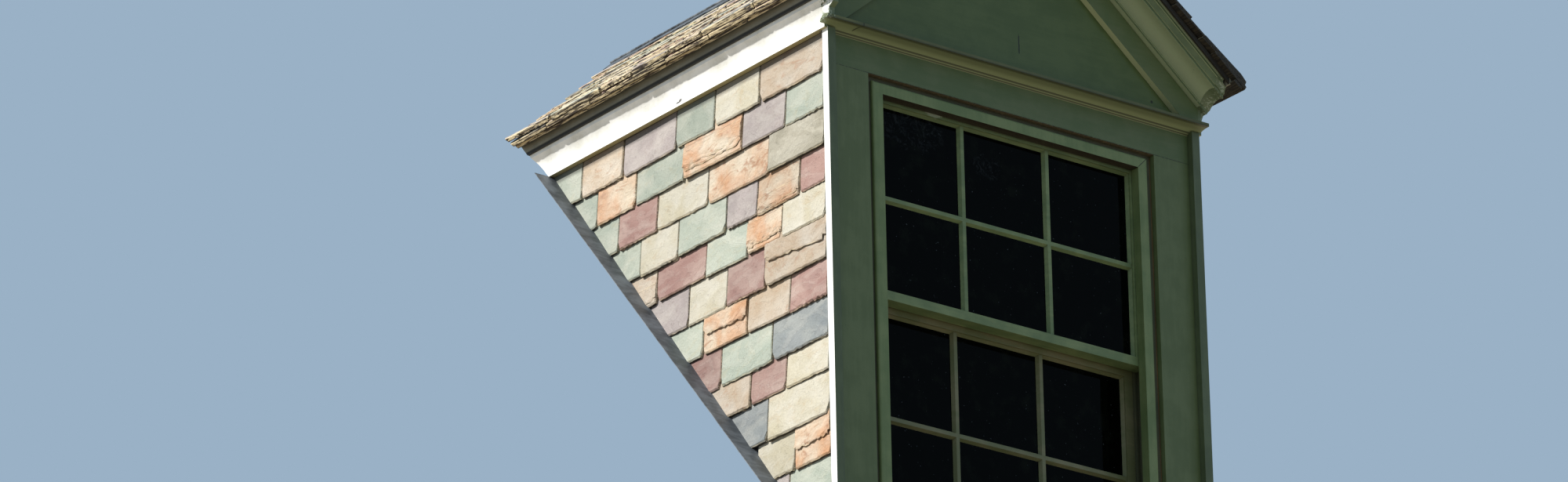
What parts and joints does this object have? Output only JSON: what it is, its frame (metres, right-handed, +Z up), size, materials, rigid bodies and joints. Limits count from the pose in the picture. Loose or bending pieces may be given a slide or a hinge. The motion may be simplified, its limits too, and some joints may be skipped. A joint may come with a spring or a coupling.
{
  "type": "dormer window",
  "caption": "Gabled roof dormer: moulded timber front with a double-hung sash window, slate cheeks and roof, cut to sit on a steep main roof.",
  "frame": {"origin": "middle of the sloping underside of the front kerb, on the plane of the main roof's timbers", "axes": "+X across the front to the right as seen from outside, +Y back into the roof, +Z up"},
  "size_m": [1.5454, 2.1211, 2.4944],
  "materials": {
    "green_paint": "weathered sage-green paint, satin",
    "brown_paint": "weathered olive-brown paint, matt",
    "white_paint": "weathered white paint, matt",
    "dark_paint": "dark grey-brown paint, matt",
    "framing_timber": "sawn softwood, matt",
    "sawn_boards": "sawn softwood boards, matt",
    "slate": "weathered mixed-colour natural slate, matt",
    "ridge_metal": "dark weathered sheet metal, matt",
    "flashing_metal": "weathered grey sheet metal, matt",
    "window_glass": "clear, glossy"
  },
  "bodies": {
    "root": {"front_kerb": "framing_timber", "front_frame": "framing_timber", "left_cheek_frame": "framing_timber", "right_cheek_frame": "framing_timber", "roof_frame": "framing_timber", "left_cheek_boarding": "sawn_boards", "right_cheek_boarding": "sawn_boards", "left_roof_boarding": "sawn_boards", "right_roof_boarding": "sawn_boards", "left_cheek_slates": "slate", "right_cheek_slates": "slate", "left_roof_slates": "slate", "right_roof_slates": "slate", "ridge_cap": "ridge_metal", "left_corner_board": "green_paint", "right_corner_board": "green_paint", "left_casing": "green_paint", "right_casing": "green_paint", "head_frieze": "green_paint", "tympanum_board": "green_paint", "apron_board": "green_paint", "horizontal_cornice": "green_paint", "left_raking_crown": "green_paint", "right_raking_crown": "green_paint", "left_rake_frieze": "green_paint", "right_rake_frieze": "green_paint", "left_eave_cornice": "white_paint", "right_eave_cornice": "white_paint", "left_eave_drip": "dark_paint", "right_eave_drip": "dark_paint", "left_rake_drip": "dark_paint", "right_rake_drip": "dark_paint", "window_frame": "brown_paint", "window_sill": "green_paint", "stop_frame": "green_paint", "upper_sash": "green_paint", "lower_sash": "brown_paint", "upper_glass": "window_glass", "lower_glass": "window_glass", "apron_flashing": "flashing_metal", "left_cheek_flashing": "flashing_metal", "right_cheek_flashing": "flashing_metal"}
  },
  "joints": []
}
